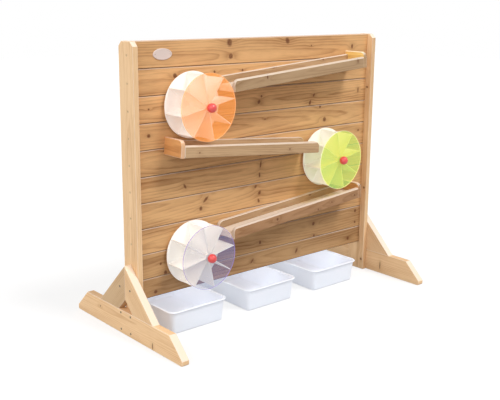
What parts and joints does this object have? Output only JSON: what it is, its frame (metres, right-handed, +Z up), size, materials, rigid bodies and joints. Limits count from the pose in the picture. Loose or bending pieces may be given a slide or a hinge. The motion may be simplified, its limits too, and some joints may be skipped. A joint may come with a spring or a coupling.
{
  "type": "water play board",
  "caption": "Planked wooden water play board on braced feet, with zigzag chutes that pour onto paddle wheels with tinted front discs, and loose catch trays on the ground below.",
  "frame": {"origin": "On the ground, midway between the posts and in the middle of the feet's length.", "axes": "+X along the board to the viewer's right when facing its front, -Y to the front where the wheels are, +Z up."},
  "size_m": [1.22, 0.656, 0.9997],
  "materials": {
    "frame_wood": "planed pale timber",
    "plank_wood": "honey brown stained timber with knots",
    "chute_wood": "planed weathered timber",
    "steel": "zinc plated",
    "red_plastic": "glossy",
    "white_plastic": "satin white",
    "orange_window": "clear tinted",
    "green_window": "clear tinted",
    "purple_window": "clear tinted",
    "tray_plastic": "satin white",
    "plate": "plain"
  },
  "bodies": {
    "stand": {"left_post": "frame_wood", "right_post": "frame_wood", "plank_01": "plank_wood", "plank_02": "plank_wood", "plank_03": "plank_wood", "plank_04": "plank_wood", "plank_05": "plank_wood", "plank_06": "plank_wood", "plank_07": "plank_wood", "plank_08": "plank_wood", "plank_09": "plank_wood", "plank_10": "plank_wood", "left_batten": "frame_wood", "right_batten": "frame_wood", "left_foot": "frame_wood", "right_foot": "frame_wood", "left_front_brace": "frame_wood", "left_rear_brace": "frame_wood", "right_front_brace": "frame_wood", "right_rear_brace": "frame_wood", "top_chute_back": "chute_wood", "top_chute_front": "chute_wood", "top_chute_floor": "chute_wood", "top_chute_end": "chute_wood", "middle_chute_back": "chute_wood", "middle_chute_front": "chute_wood", "middle_chute_floor": "chute_wood", "middle_chute_end": "chute_wood", "bottom_chute_back": "chute_wood", "bottom_chute_front": "chute_wood", "bottom_chute_floor": "chute_wood", "bottom_chute_end": "chute_wood", "axle_bolts": "steel", "axle_washers": "steel", "axle_nuts": "steel", "axle_knobs": "red_plastic", "post_screws": "steel", "foot_screws": "steel", "batten_screws": "steel", "chute_screws": "steel", "oval_plate": "plate", "plate_pins": "steel"},
    "top_wheel": {"top_wheel_back": "white_plastic", "top_wheel_paddles": "white_plastic", "top_wheel_hub": "white_plastic", "top_wheel_window": "orange_window"},
    "middle_wheel": {"middle_wheel_back": "white_plastic", "middle_wheel_paddles": "white_plastic", "middle_wheel_hub": "white_plastic", "middle_wheel_window": "green_window"},
    "bottom_wheel": {"bottom_wheel_back": "white_plastic", "bottom_wheel_paddles": "white_plastic", "bottom_wheel_hub": "white_plastic", "bottom_wheel_window": "purple_window"},
    "left_tub": {"left_tray": "tray_plastic"},
    "middle_tub": {"middle_tray": "tray_plastic"},
    "right_tub": {"right_tray": "tray_plastic"}
  },
  "joints": [
    {"name": "top_wheel_spin", "type": "hinge", "parent": "stand", "child": "top_wheel", "pos_m": [-0.338, -0.074, 0.78096], "axis": [0, 1, 0], "continuous": true},
    {"name": "middle_wheel_spin", "type": "hinge", "parent": "stand", "child": "middle_wheel", "pos_m": [0.315, -0.074, 0.52421], "axis": [0, 1, 0], "continuous": true},
    {"name": "bottom_wheel_spin", "type": "hinge", "parent": "stand", "child": "bottom_wheel", "pos_m": [-0.338, -0.074, 0.257], "axis": [0, 1, 0], "continuous": true},
    {"name": "left_tray_pull", "type": "slide", "parent": "stand", "child": "left_tub", "axis": [0, -1, 0], "range_m": [0, 0.35]},
    {"name": "middle_tray_pull", "type": "slide", "parent": "stand", "child": "middle_tub", "axis": [0, -1, 0], "range_m": [0, 0.35]},
    {"name": "right_tray_pull", "type": "slide", "parent": "stand", "child": "right_tub", "axis": [0, -1, 0], "range_m": [0, 0.35]}
  ]
}
